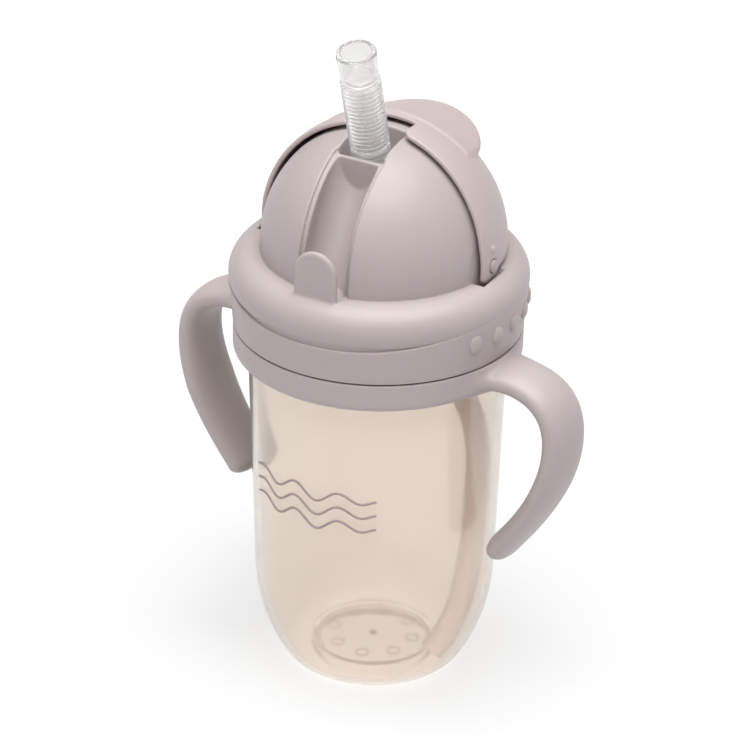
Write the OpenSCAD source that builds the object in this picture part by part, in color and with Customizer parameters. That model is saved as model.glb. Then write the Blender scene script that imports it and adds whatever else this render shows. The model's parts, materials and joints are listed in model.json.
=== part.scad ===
// Flip-top straw cup for a toddler: a tinted bottle, a loose two-handled
// ring, a screw-on domed lid, a flip cover and a folding silicone straw.
// Millimetres, +Z up. The origin is on the table, on the bottle's axis.
// +X is the pivot axis of the flip cover and -Y is the drinking side.

/* [Bottle] */
// Radius of the bottle wall just under the handle ring
body_top_r = 34.6; // [34.2:0.1:34.6]
// Radius of the bottle wall where the base rounding starts
body_low_r = 32.4; // [31.8:0.1:33]
// Height where the base rounding starts
body_low_z = 28.9; // [27:0.1:31]
// Radius of the large arc of the base rounding
base_arc_r = 52; // [48:0.5:56]
// Radius of the ring that the bottle stands on
foot_r = 17.5; // [16.5:0.1:18]
// Wall thickness of the bottle
body_wall = 1.7; // [1.5:0.1:1.8]
// Outer radius of the bottle's neck
neck_r = 31; // [30.7:0.1:31]
// Height of the bottle's rim
rim_z = 113; // [112.8:0.1:113]

/* [Screw thread] */
// Rise of the thread for one turn of the lid
thread_pitch = 4; // [3.6:0.1:4.2]
// Turns of thread on the neck
thread_turns = 1.5; // [1.25:0.25:1.5]
// Height that the thread stands out
thread_h = 1; // [0.8:0.1:1]

/* [Handles] */
// Outer radius of the handle ring, the same as the lid's skirt
ring_r = 38.5; // [38.2:0.1:38.8]
// Angle of the handles from the lid's pivots, in degrees
handle_turn = -4; // [-6:1:6]
// Furthest reach of a handle's middle line from the axis
handle_reach = 57.6; // [56:0.1:59]
// Height of the middle of a handle's tip
handle_tip_z = 47.2; // [46:0.1:50]
// Half of the width of a handle at its broadest
handle_half_w = 9.2; // [8:0.1:9.6]
// Half of the thickness of a handle
handle_half_t = 3.5; // [3:0.1:3.7]

/* [Lid] */
// Height of the seam between the handle ring and the lid
seam_z = 101.9; // [101.8:0.1:102]
// Largest radius of the lid's rounded shoulder
shoulder_r = 39.7; // [39.4:0.1:40]
// Height of the top of the shoulder
shoulder_z = 122.4; // [122.2:0.1:122.6]
// Radius of the dome
dome_r = 31.2; // [31:0.1:31.4]
// Height of the pivots and of the middle of the dome
pivot_z = 125.5; // [125.3:0.1:125.7]
// Wall thickness of the lid
lid_wall = 1.6; // [1.4:0.1:1.8]
// Width of the shallow ledge along both sides of the straw's channel
ledge_w = 14.7; // [14.4:0.1:15]
// Width of the straw's channel
channel_w = 12.4; // [12:0.1:12.6]
// Width of the tongue at the front of the lid
tongue_w = 12.4; // [11:0.1:12.6]
// Height of the tongue's round top
tongue_top_z = 135.4; // [134:0.1:136]

/* [Flip cover] */
// Gap between the dome and the cover
cover_gap = 1.1; // [1:0.05:1.2]
// Wall thickness of the cover
cover_wall = 1.3; // [1.2:0.05:1.4]
// Width of the notch in the cover's front edge
notch_w = 14.6; // [14.2:0.1:15]
// Radius of the thumb lip, seen from above
lip_r = 21; // [19:0.5:21]
// Downward slope of the thumb lip, in degrees
lip_slope = 15; // [14:1:16]
// Radius of a pivot pin
pin_r = 1.8; // [1.5:0.1:2]

/* [Straw] */
// Outer radius of the silicone straw
straw_r = 5.3; // [5.1:0.05:5.3]
// Inner radius of the silicone straw
straw_bore_r = 3.9; // [3.6:0.1:4]
// Forward lean of the straw, in degrees
straw_lean = 15.7; // [15:0.1:16]
// Length of the leaning part of the straw
straw_len = 46.5; // [44:0.5:47]
// Length of the smooth mouthpiece at the straw's tip
mouth_len = 8.5; // [8:0.5:11]
// Spacing of the straw's ribs
rib_pitch = 1.3; // [1.2:0.1:1.4]
// Outer radius of the tube inside the bottle
tube_r = 3.3; // [3:0.1:3.3]

/* [Hidden] */
$fn = 96;

lid_colour = [0.83, 0.79, 0.78];
cover_colour = [0.86, 0.79, 0.79];
bottle_colour = [0.9, 0.8, 0.7, 0.5];
silicone_colour = [0.92, 0.93, 0.93, 0.6];

// Clearance between pieces that move against each other
clear = 0.4;
// How far a cut runs past the surface that it opens
over = 1;

// The bottle's upper wall and shoulder
body_top_z = 95;
shoulder_turn_r = 2.6;
ledge_z = body_top_z + shoulder_turn_r;
wall_tilt = atan((body_top_r - body_low_r) / (body_top_z - body_low_z));
// Middle of the large base arc, square to the wall's lower end
arc_a = [body_low_r - base_arc_r * cos(wall_tilt), body_low_z + base_arc_r * sin(wall_tilt)];
// The small arc touches the large one and the table
foot_arc_r = ((foot_r - arc_a[0])^2 + arc_a[1]^2 - base_arc_r^2) / (2 * (arc_a[1] - base_arc_r));
arc_b = [foot_r, foot_arc_r];
foot_turn = atan2(arc_a[1] - arc_b[1], arc_b[0] - arc_a[0]);
// Hollow in the underside, inside the ring that the bottle stands on
hollow_r = 15.6;
hollow_z = 4.2;
// Radius of the flat floor over the hollow
floor_r = hollow_r + 1.1;

// Thread: bottom of its first turn on the neck
thread_z = 103.2;
thread_root_w = 1.6;
thread_tip_w = 0.8;
thread_steps = 36;
// How far the ridges are sunk into the wall that carries them
thread_sink = 0.3;
// The lid's ridge sits this far under the neck's
thread_gap_z = 1.5;

// Handle ring
ring_low_z = 93.4;
ring_web_top = 100.4;
ring_web_low = ledge_z + clear;
ring_turn_r = 2.2;
handle_root_z = 97.1;
handle_root_x = 36.6;
handle_steps = 18;
handle_sides = 24;
// A section's outline is a rounded box of this power
handle_power = 2.3;

// Lid
shoulder_turn = shoulder_r - 33.2;
shoulder_mid = [shoulder_r - shoulder_turn, shoulder_z - shoulder_turn];
skirt_in_r = ring_r - 2;
sleeve_in_r = neck_r + thread_h + clear;
sleeve_out_r = sleeve_in_r + 1.4;
sleeve_low_z = ring_web_top + clear;
deck_low_z = 114.6;
deck_top_z = 116.4;
grip_ridge_z = 112.4;
grip_ridge_h = 0.45;
grip_ridge_w = 0.9;
dot_r = 2.1;
dot_out = 1.4;
dot_step = 12;
// How far round from the pivots the middle grip dots are, towards the back
dot_shift = 2.5;
dot_count = 5;
dot_z = 109.8;

// Vent valve in the deck
vent_x = -17;
vent_y = 8;
vent_r = 2.2;

// Straw's path: up the middle of the conduit, then leaning forward
straw_y = -1.7;
kink_z = 139;
seat_z = 112.4;
flange_r = 9;
flange_h = 2;
// Straw well in the dome
well_front = -11;
well_back = 2.8;
well_half_w = 6.6;
well_wall = 1.3;
well_top_z = 152.6;
well_floor_z = 139;
// Straight channel that the folded straw lies in: a point on its middle line
// and its slope, from the pivot axis
channel_y = -16.9;
channel_z = 23.2;
channel_tilt = 30.9;
channel_low_z = 122;

// Cover
cover_in_r = dome_r + cover_gap;
cover_out_r = cover_in_r + cover_wall;
cover_low = -2;
ear_r = 4.2;
ear_front = -4.6;
ear_corner_r = 2.2;
notch_back = 6;
pocket_r = 6.8;
pocket_out_r = 33.95;
pin_root_r = 26.5;
pin_head_r = 34.4;
pin_slack = 0.08;
// Height above the pivot where the cover's front edge starts to lean back, and its slope
ear_top = 6;
front_slope = 0.09;
lip_gap = 0.5;
lip_wall = 1.6;
lip_mid_y = 10.5;

// Straw fold axis, which the mouthpiece turns about
fold_y = -9;
fold_z = 156.9;

function arc(mid, r, from, to, steps) =
    [for (i = [0 : steps]) let (a = from + (to - from) * i / steps) mid + r * [cos(a), sin(a)]];

// A point t along a cubic curve with four control points
function curve(p, t) =
    (1 - t)^3 * p[0] + 3 * (1 - t)^2 * t * p[1] + 3 * (1 - t) * t^2 * p[2] + t^3 * p[3];

// One side of a rounded box's outline: the sign kept and the size raised to a power
function swell(v, power) = sign(v) * pow(abs(v), 2 / power);

// Side faces between rings of n points, with a flat face at each end
function tube_faces(rings, n) = concat(
    [[for (k = [0 : n - 1]) k]],
    [for (i = [0 : rings - 2], k = [0 : n - 1])
        [i * n + k, (i + 1) * n + k, (i + 1) * n + (k + 1) % n, i * n + (k + 1) % n]],
    [[for (k = [n - 1 : -1 : 0]) (rings - 1) * n + k]]);

// A ridge that winds up round the axis: base_r is in the wall, tip_r stands out of it
module helix_ridge(base_r, tip_r, from_z, turns) {
    steps = round(turns * thread_steps);
    half_root = thread_root_w / 2;
    half_tip = thread_tip_w / 2;
    rings = [for (i = [0 : steps])
        let (a = 360 * i / thread_steps, z = from_z + thread_pitch * i / thread_steps,
             grow = min(1, i / 3, (steps - i) / 3), r = base_r + (tip_r - base_r) * max(grow, 0.35),
             dir = [cos(a), sin(a)])
        [[base_r * dir[0], base_r * dir[1], z - half_root], [r * dir[0], r * dir[1], z - half_tip],
         [r * dir[0], r * dir[1], z + half_tip], [base_r * dir[0], base_r * dir[1], z + half_root]]];
    points = [for (ring = rings) each (tip_r > base_r ? ring : [ring[3], ring[2], ring[1], ring[0]])];
    polyhedron(points, [for (f = tube_faces(steps + 1, 4)) [for (k = [3 : -1 : 0]) f[k]]]);
}

module bottle_body() {
    lip = 0.5;
    neck_bore = neck_r - 2.2;
    outer = concat(
        [[0, hollow_z], [hollow_r - 1, hollow_z], [hollow_r, hollow_z - 1], [foot_r - 1, 0], [foot_r, 0]],
        arc(arc_b, foot_arc_r, -90, -foot_turn, 8),
        arc(arc_a, base_arc_r, -foot_turn, -wall_tilt, 12),
        arc([body_top_r - shoulder_turn_r, body_top_z], shoulder_turn_r, 0, 90, 8),
        [[neck_r, ledge_z], [neck_r, rim_z - lip], [neck_r - lip, rim_z], [neck_bore + lip, rim_z]]);
    inner = concat(
        [[neck_bore, rim_z - lip], [neck_bore, ledge_z - body_wall]],
        arc([body_top_r - shoulder_turn_r, body_top_z - body_wall], shoulder_turn_r - body_wall, 90, 0, 4),
        arc(arc_a, base_arc_r - body_wall, -wall_tilt, -foot_turn, 12),
        arc(arc_b, foot_arc_r - body_wall, -foot_turn, -90, 8),
        [[floor_r, hollow_z + body_wall], [0, hollow_z + body_wall]]);
    color(bottle_colour) union() {
        rotate_extrude() polygon(concat(outer, inner));
        helix_ridge(neck_r - thread_sink, neck_r + thread_h, thread_z, thread_turns);
    }
}

module handle_ring() {
    bore = body_top_r + clear;
    web_bore = neck_r + thread_h + clear;
    rim_in_r = skirt_in_r + 0.4;
    color(lid_colour) rotate_extrude() polygon(concat(
        [[bore, ring_low_z]],
        arc([ring_r - ring_turn_r, ring_low_z + ring_turn_r], ring_turn_r, -90, 0, 8),
        [[ring_r, seam_z - clear], [rim_in_r, seam_z - clear], [rim_in_r, ring_web_top],
         [web_bore, ring_web_top], [web_bore, ring_web_low], [body_top_r - shoulder_turn_r, ring_web_low]],
        arc([body_top_r - shoulder_turn_r, body_top_z], shoulder_turn_r + clear, 90, 0, 8)));
}

// Middle line of a handle, out of the ring and round to its tip, as [x, z]
function handle_line(t) =
    let (turn_z = 82.3,
         upper = [[handle_root_x, handle_root_z], [50.4, handle_root_z + 1.3],
                  [handle_reach, turn_z + 11.3], [handle_reach, turn_z]],
         lower = [[handle_reach, turn_z], [handle_reach, turn_z - 16.7],
                  [42.7, handle_tip_z + 1.7], [41.7, handle_tip_z]])
    t < 1 ? curve(upper, t) : curve(lower, t - 1);

// A handle: rounded sections along its middle line, wide at the ring and round at the tip
module handle(side) {
    last = 2 * handle_steps;
    cap = 6;
    function spot(i) = handle_line(min(i, last) / handle_steps);
    function heading(i) =
        let (a = spot(max(i - 0.5, 0)), b = spot(min(i + 0.5, last)), d = b - a) d / norm(d);
    function half_w(s) = s < 0.12 ? handle_half_w + 2.6 * (1 - s / 0.12)^2 - 1.3 * (s / 0.12)
        : handle_half_w - 1.3 * abs(cos((s - 0.12) / 0.88 * 130 + 10));
    rings = [for (i = [0 : last + cap])
        let (k = min(i, last), s = k / last, past = max(i - last, 0) / cap,
             dir = heading(k), across = [-dir[1], dir[0]], round_off = sqrt(1 - (past * 0.97)^2),
             mid = spot(k) + dir * handle_half_t * past,
             w = half_w(s) * (0.25 + 0.75 * round_off), t = handle_half_t * round_off)
        [for (n = [0 : handle_sides - 1])
            let (a = 360 * n / handle_sides, off = across * t * swell(cos(a), handle_power))
            [side * (mid[0] + off[0]), w * swell(sin(a), handle_power), mid[1] + off[1]]]];
    faces = tube_faces(last + cap + 1, handle_sides);
    color(lid_colour) rotate([0, 0, handle_turn])
        polyhedron([for (ring = rings) each ring],
                   side > 0 ? faces : [for (f = faces) [for (k = [len(f) - 1 : -1 : 0]) f[k]]]);
}

module left_handle() {
    handle(-1);
}

module right_handle() {
    handle(1);
}

module lid_seal() {
    squeeze = 0.1;
    color("whitesmoke") rotate_extrude()
        translate([neck_r - 2.6, rim_z + squeeze]) square([3, deck_low_z - rim_z - 2 * squeeze]);
}

// The lid without its channel: skirt, rounded shoulder, dome, deck and threaded sleeve
module lid_shell() {
    inner_turn = shoulder_turn - lid_wall;
    rotate([0, 0, 45]) rotate_extrude() polygon(concat(
        [[skirt_in_r, seam_z], [ring_r, seam_z], [ring_r + 0.5, grip_ridge_z - grip_ridge_w],
         [ring_r + 0.5 + grip_ridge_h, grip_ridge_z], [ring_r + 0.6, grip_ridge_z + grip_ridge_w]],
        arc(shoulder_mid, shoulder_turn, 0, 106, 16),
        arc([0, pivot_z], dome_r, 0, 90, 24),
        arc([0, pivot_z], dome_r - lid_wall, 90, 0, 24),
        [[dome_r - lid_wall, deck_top_z], [0, deck_top_z],
         [0, deck_low_z], [sleeve_in_r, deck_low_z], [sleeve_in_r, sleeve_low_z],
         [sleeve_out_r, sleeve_low_z], [sleeve_out_r, deck_top_z]],
        arc(shoulder_mid, inner_turn, 90, 0, 10),
        [[skirt_in_r + 0.6, grip_ridge_z]]));
}

// A solid dome, down to the deck
module dome_solid(r) {
    rotate([0, 0, 45]) rotate_extrude() polygon(concat(
        [[0, deck_low_z + 0.5], [r, deck_low_z + 0.5]], arc([0, pivot_z], r, 0, 90, 24)));
}

// The straw's channel, grown by a wall thickness, and open towards the dome's surface
module channel(grow) {
    half = channel_w / 2 + grow;
    translate([0, channel_y, pivot_z + channel_z]) rotate([-channel_tilt, 0, 0]) {
        translate([0, 0, -40]) cylinder(r = half, h = 60);
        translate([-half, -40, -40]) cube([2 * half, 40, 60]);
    }
}

// A box across the lid from its front to y, and up from z
module front_box(half_w, y, z) {
    deep = 2 * dome_r;
    translate([-half_w, y - deep, z]) cube([2 * half_w, deep, 3 * dome_r]);
}

module straw_axis_from(z) {
    translate([0, straw_y, z]) children();
}

module lid_body() {
    conduit_r = straw_r + clear;
    fill_r = dome_r - lid_wall / 2;
    front_wall = well_front - well_wall;
    color(lid_colour) difference() {
        union() {
            lid_shell();
            intersection() {
                dome_solid(fill_r);
                union() {
                    intersection() {
                        channel(well_wall);
                        front_box(dome_r, front_wall + 0.1, deck_low_z);
                    }
                    // the well's back wall is twice as thick, because the conduit's bore cuts into it
                    translate([-well_half_w - well_wall, front_wall, well_floor_z - well_wall])
                        cube([2 * (well_half_w + well_wall), well_back - well_front + 3 * well_wall, dome_r]);
                    straw_axis_from(deck_low_z)
                        cylinder(r = conduit_r + well_wall, h = well_floor_z - deck_low_z);
                }
            }
            tongue();
            grip_dots();
            helix_ridge(sleeve_in_r + thread_sink, sleeve_in_r - thread_h,
                        thread_z - thread_gap_z, thread_turns);
        }
        // shallow ledge beside the channel
        difference() {
            intersection() {
                front_box(ledge_w / 2, well_front, channel_low_z + 0.3);
                translate([0, 0, deck_low_z]) cylinder(r = dome_r + 0.3, h = 2 * dome_r);
            }
            dome_solid(dome_r - 1);
        }
        // the channel itself
        intersection() {
            channel(0);
            front_box(dome_r, front_wall, channel_low_z);
            translate([0, 0, deck_low_z]) cylinder(r = dome_r + 0.4, h = 2 * dome_r);
        }
        // well for the straw, with a low front wall
        translate([-well_half_w, well_front, well_floor_z])
            cube([2 * well_half_w, well_back - well_front, dome_r]);
        translate([-well_half_w, front_wall - over, well_top_z])
            cube([2 * well_half_w, well_wall + 2 * over, dome_r]);
        straw_axis_from(deck_low_z - over) cylinder(r = conduit_r, h = dome_r);
        // round pockets that the cover's ears turn in, and the holes of the pins
        for (side = [-1, 1]) {
            difference() {
                translate([0, 0, pivot_z]) rotate([0, side * 90, 0])
                    translate([0, 0, dome_r * 0.85]) cylinder(r = pocket_r, h = pocket_out_r - dome_r * 0.85);
                dome_solid(dome_r + 0.05);
            }
            translate([0, 0, pivot_z]) rotate([0, side * 90, 0])
                translate([0, 0, pin_root_r]) cylinder(r = pin_r, h = dome_r - pin_root_r + 0.5);
        }
        vent_hole();
    }
}

module tongue() {
    plate = 1.8;
    front = -34.7;
    half = tongue_w / 2;
    low = shoulder_z - 2.5;
    translate([0, front, 0]) rotate([-90, 0, 0]) {
        translate([0, half - tongue_top_z, 0]) cylinder(r = half, h = plate);
        translate([-half, half - tongue_top_z, 0]) cube([tongue_w, tongue_top_z - half - low, plate]);
    }
}

module grip_dots() {
    ball_r = (dot_r^2 + dot_out^2) / (2 * dot_out);
    difference() {
        for (side = [-1, 1], i = [0 : dot_count - 1])
            rotate([0, 0, 90 - side * (90 - dot_shift - (i - (dot_count - 1) / 2) * dot_step)])
                translate([ring_r + 0.3 + dot_out - ball_r, 0, dot_z]) sphere(r = ball_r, $fn = 48);
        cylinder(r = ring_r - 1, h = 2 * dot_z);
    }
}

module vent_hole() {
    translate([vent_x, vent_y, deck_low_z - over])
        cylinder(r = vent_r, h = 2 * over + deck_top_z - deck_low_z);
}

// Soft mushroom plug that lets air in as the child drinks
module vent_valve() {
    head = 3.4;
    slit = 0.6;
    color("whitesmoke") translate([vent_x, vent_y, 0]) difference() {
        union() {
            translate([0, 0, deck_low_z - 1]) cylinder(r = vent_r - 0.1, h = deck_top_z - deck_low_z + 2);
            translate([0, 0, deck_low_z - 1]) cylinder(r = head, h = 1);
            translate([0, 0, deck_top_z]) cylinder(r = head, h = 1);
        }
        translate([-slit / 2, -vent_r / 2, deck_low_z - 1 - over]) cube([slit, vent_r, 2 + over]);
    }
}

module pivot_pin(side) {
    cap_h = 0.6;
    color(lid_colour) translate([0, 0, pivot_z]) rotate([0, side * 90, 0]) {
        translate([0, 0, pin_root_r]) cylinder(r = pin_r, h = pin_head_r - pin_root_r - cap_h);
        translate([0, 0, pin_head_r - cap_h]) cylinder(r1 = pin_r, r2 = pin_r - 0.5, h = cap_h);
    }
}

module left_pivot_pin() {
    pivot_pin(-1);
}

module right_pivot_pin() {
    pivot_pin(1);
}

// A ball whose poles lie on the pivot axis
module cross_ball(r) {
    rotate([0, 90, 0]) sphere(r = r, $fn = 128);
}

// Everything that the cover's outline keeps, seen along the pivot axis
module cover_outline() {
    reach = 2 * cover_out_r;
    corner = [ear_front + ear_corner_r, ear_corner_r - ear_r];
    rotate([90, 0, 90]) translate([0, 0, -reach]) linear_extrude(2 * reach)
        polygon(concat([[ear_front, ear_top], [ear_front + front_slope * reach, reach]],
                       [[reach, reach], [reach, cover_low]],
                       arc([0, 0], ear_r, asin(cover_low / ear_r), -90, 8),
                       arc(corner, ear_corner_r, -90, -180, 8)));
}

module flip_cover() {
    color(cover_colour) translate([0, 0, pivot_z]) difference() {
        union() {
            intersection() {
                cross_ball(cover_out_r);
                cover_outline();
            }
            thumb_lip();
        }
        cross_ball(cover_in_r);
        translate([-notch_w / 2, ear_front - over, 0])
            cube([notch_w, notch_back - ear_front + over, 2 * cover_out_r]);
        for (side = [-1, 1]) rotate([0, side * 90, 0]) cylinder(r = pin_r + pin_slack, h = 2 * cover_out_r);
    }
}

// Thumb lip: part of a cylinder shell that leaves the cover's surface at its top
module thumb_lip() {
    outer = cover_out_r + lip_gap;
    root = notch_back + 2.5;
    intersection() {
        rotate([-90 - lip_slope, 0, 0]) difference() {
            cylinder(r = outer, h = 3 * lip_r, center = true, $fn = 128);
            cylinder(r = outer - lip_wall, h = 4 * lip_r, center = true, $fn = 128);
        }
        translate([0, lip_mid_y, 0]) cylinder(r = lip_r, h = 2 * outer);
        translate([-outer, root, 0]) cube([2 * outer, 2 * outer, 2 * outer]);
    }
}

// Puts its children on the leaning straw, with z = 0 at the kink
module on_lean() {
    translate([0, straw_y, kink_z]) rotate([straw_lean, 0, 0]) children();
}

module straw_base() {
    color(silicone_colour) straw_axis_from(seat_z) difference() {
        union() {
            cylinder(r = straw_r, h = kink_z - seat_z - 1.8);
            cylinder(r = flange_r, h = flange_h);
        }
        translate([0, 0, -over]) cylinder(r = straw_bore_r, h = kink_z);
    }
}

module straw_bellows() {
    first = 0.6;
    top = straw_len - mouth_len;
    ribs = round((top - first) / rib_pitch);
    pitch = (top - first) / ribs;
    groove = 0.45;
    side = [for (i = [0 : ribs - 1], q = [0 : 3])
        [straw_r - (q == 0 || q == 3 ? groove : 0), first + (i + [0.05, 0.3, 0.7, 0.95][q]) * pitch]];
    color(silicone_colour) on_lean() rotate_extrude($fn = 48)
        polygon(concat([[straw_bore_r, first]], [[straw_r - groove, first]], side,
                       [[straw_r - groove, top], [straw_bore_r, top]]));
}

module straw_mouthpiece() {
    lip = 0.5;
    low = straw_len - mouth_len + 0.1;
    color(silicone_colour) on_lean() rotate_extrude()
        polygon(concat([[straw_bore_r, low], [straw_r, low]],
                       arc([straw_r - lip, straw_len - lip], lip, 0, 90, 4),
                       arc([straw_bore_r + 0.4, straw_len - 0.4], 0.4, 90, 180, 4)));
}

// Thin disc with a cross cut, which keeps the drink in until the child sucks
module straw_slit_valve() {
    plate = 0.6;
    cut = 0.25;
    low = straw_len - mouth_len + 0.4;
    color(silicone_colour) on_lean() translate([0, 0, low]) difference() {
        cylinder(r = straw_bore_r, h = plate);
        for (turn = [0, 90]) rotate([0, 0, turn])
            translate([-straw_bore_r * 0.7, -cut / 2, -over]) cube([straw_bore_r * 1.4, cut, 3 * over]);
    }
}

// Points that the middle of the lower tube passes: down, out to the wall and to the floor
tube_route = [[0, straw_y, 116], [0, straw_y, 109], [8.5, 0.6, 101], [17.2, 3.1, 92], [24, 6, 80],
              [25.9, 8.9, 66], [25.2, 10.2, 50], [25.3, 8, 36], [25.3, 1.8, 22], [23.6, -2.6, 14],
              [21, -5.7, 9]];

// Smooth line through the route's points: t counts points
function tube_point(t) =
    let (last = len(tube_route) - 1, i = min(floor(t), last - 1), f = t - i,
         a = tube_route[max(i - 1, 0)], b = tube_route[i],
         c = tube_route[i + 1], d = tube_route[min(i + 2, last)])
    0.5 * (2 * b + (c - a) * f + (2 * a - 5 * b + 4 * c - d) * f^2 + (3 * b - a - 3 * c + d) * f^3);

module straw_tube() {
    sides = 12;
    per_point = 4;
    wall = 1;
    stations = (len(tube_route) - 1) * per_point;
    function heading(i) = let (d = tube_point(min(i + 0.5, stations) / per_point)
                                 - tube_point(max(i - 0.5, 0) / per_point)) d / norm(d);
    function ring(i, r) = let (p = tube_point(i / per_point), h = heading(i),
        u = cross(h, [0, 1, 0]), n = u / norm(u), b = cross(h, n))
        [for (k = [0 : sides - 1]) p + r * (n * cos(360 * k / sides) + b * sin(360 * k / sides))];
    points = [for (i = [0 : stations]) each concat(ring(i, tube_r), ring(i, tube_r - wall))];
    two = 2 * sides;
    function at(i, k, inner) = i * two + k % sides + (inner ? sides : 0);
    sides_faces = [for (i = [0 : stations - 1], k = [0 : sides - 1])
        [at(i, k, false), at(i, k + 1, false), at(i + 1, k + 1, false), at(i + 1, k, false)]];
    bore_faces = [for (i = [0 : stations - 1], k = [0 : sides - 1])
        [at(i, k, true), at(i + 1, k, true), at(i + 1, k + 1, true), at(i, k + 1, true)]];
    end_faces = [for (k = [0 : sides - 1]) each
        [[at(0, k, false), at(0, k, true), at(0, k + 1, true), at(0, k + 1, false)],
         [at(stations, k, false), at(stations, k + 1, false),
          at(stations, k + 1, true), at(stations, k, true)]]];
    color(silicone_colour) polyhedron(points, concat(sides_faces, bore_faces, end_faces));
}

bottle_body();
handle_ring();
left_handle();
right_handle();
lid_seal();
lid_body();
vent_valve();
left_pivot_pin();
right_pivot_pin();
flip_cover();
straw_base();
straw_bellows();
straw_mouthpiece();
straw_slit_valve();
straw_tube();
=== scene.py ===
import json
import math

import bpy
import bmesh
import numpy as np
from mathutils import Matrix, Vector


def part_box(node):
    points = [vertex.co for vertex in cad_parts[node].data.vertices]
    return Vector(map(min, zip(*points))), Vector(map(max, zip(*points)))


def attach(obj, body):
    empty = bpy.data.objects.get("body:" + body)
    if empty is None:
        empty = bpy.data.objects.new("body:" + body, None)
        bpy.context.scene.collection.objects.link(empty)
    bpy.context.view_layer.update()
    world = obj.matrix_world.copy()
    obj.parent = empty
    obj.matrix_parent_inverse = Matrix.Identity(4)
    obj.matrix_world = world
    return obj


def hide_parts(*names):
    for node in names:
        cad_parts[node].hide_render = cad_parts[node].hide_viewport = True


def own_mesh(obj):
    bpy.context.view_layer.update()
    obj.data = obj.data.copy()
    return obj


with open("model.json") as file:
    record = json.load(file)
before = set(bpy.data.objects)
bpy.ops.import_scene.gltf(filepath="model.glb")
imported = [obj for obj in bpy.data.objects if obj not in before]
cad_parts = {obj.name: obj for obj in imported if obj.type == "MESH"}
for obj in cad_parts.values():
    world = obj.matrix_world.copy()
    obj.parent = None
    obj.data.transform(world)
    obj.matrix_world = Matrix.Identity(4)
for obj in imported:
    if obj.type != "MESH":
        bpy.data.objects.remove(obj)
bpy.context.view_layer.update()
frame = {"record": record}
MM = 0.001

# ---------------------------------------------------------------- named sizes, in millimetres
LID_LOW, LID_HIGH = [[c / MM for c in corner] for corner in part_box("lid_body")]
BOTTLE_HIGH = [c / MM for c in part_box("bottle_body")[1]]
RING_LOW, RING_HIGH = [[c / MM for c in corner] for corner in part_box("handle_ring")]
JOINT = {j["name"]: j for j in frame["record"]["behaviour"]["joints"]}
PIVOT_Z = JOINT["cover_flip"]["pos_m"][2] / MM
SHOULDER_R, SHOULDER_IN, SHOULDER_Z = LID_HIGH[1], 33.2, 122.4
LID_TORUS_Z = SHOULDER_Z - (SHOULDER_R - SHOULDER_IN)
RING_R = 38.5
SEAM_Z = RING_HIGH[2] + 0.4
DOME_R = 31.2
LID_WALL = 1.6
DECK_Z, DECK_T = 116.4, 1.8
SLEEVE_IN, SLEEVE_OUT = 32.4, 33.8
SKIRT_IN = RING_R - 2
RIM_Z = BOTTLE_HIGH[2]
BODY_R, BODY_TOP, BODY_ROUND = BOTTLE_HIGH[0], 95.0, 2.6


# ---------------------------------------------------------------- smooth solids as distance fields
def s_min(a, b, k):
    h = np.clip(0.5 + 0.5 * (b - a) / k, 0, 1)
    return b * (1 - h) + a * h - k * h * (1 - h)


def s_max(a, b, k):
    return -s_min(-a, -b, k)


def round_max(a, b, k):
    """Where two half-spaces meet, with their corner turned at radius k."""
    a, b = a + k, b + k
    return np.hypot(np.maximum(a, 0), np.maximum(b, 0)) + np.minimum(np.maximum(a, b), 0) - k


def box_field(x, y, z, low, high, rounding):
    """Signed distance to a box with rounded edges."""
    q = []
    for v, a, b in zip((x, y, z), low, high):
        q.append(np.abs(v - (a + b) / 2) - (b - a) / 2 + rounding)
    out = np.sqrt(sum(np.maximum(c, 0) ** 2 for c in q))
    return out + np.minimum(np.maximum(np.maximum(q[0], q[1]), q[2]), 0) - rounding


def arc(mid, r, start, end, steps):
    out = []
    for i in range(steps + 1):
        a = math.radians(start + (end - start) * i / steps)
        out.append((mid[0] + r * math.cos(a), mid[1] + r * math.sin(a)))
    return out


def soften(points, steps=5):
    """Corners given as (r, z, radius) become arcs of that radius."""
    out = []
    n = len(points)
    for i, p in enumerate(points):
        if len(p) < 3 or p[2] <= 0:
            out.append((p[0], p[1]))
            continue
        here = np.array(p[:2], float)
        a = np.array(points[i - 1][:2], float) - here
        b = np.array(points[(i + 1) % n][:2], float) - here
        la, lb = np.linalg.norm(a), np.linalg.norm(b)
        a, b = a / la, b / lb
        half = math.acos(max(-1, min(1, float(a @ b)))) / 2
        if half > 1.55:
            out.append((p[0], p[1]))
            continue
        reach = min(p[2] / math.tan(half), 0.45 * la, 0.45 * lb)
        radius = reach * math.tan(half)
        mid = here + (a + b) / np.linalg.norm(a + b) * radius / math.sin(half)
        s, e = here + a * reach - mid, here + b * reach - mid
        turn = math.atan2(s[0] * e[1] - s[1] * e[0], float(s @ e))
        for k in range(steps + 1):
            t = turn * k / steps
            out.append((mid[0] + s[0] * math.cos(t) - s[1] * math.sin(t),
                        mid[1] + s[0] * math.sin(t) + s[1] * math.cos(t)))
    return out


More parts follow.
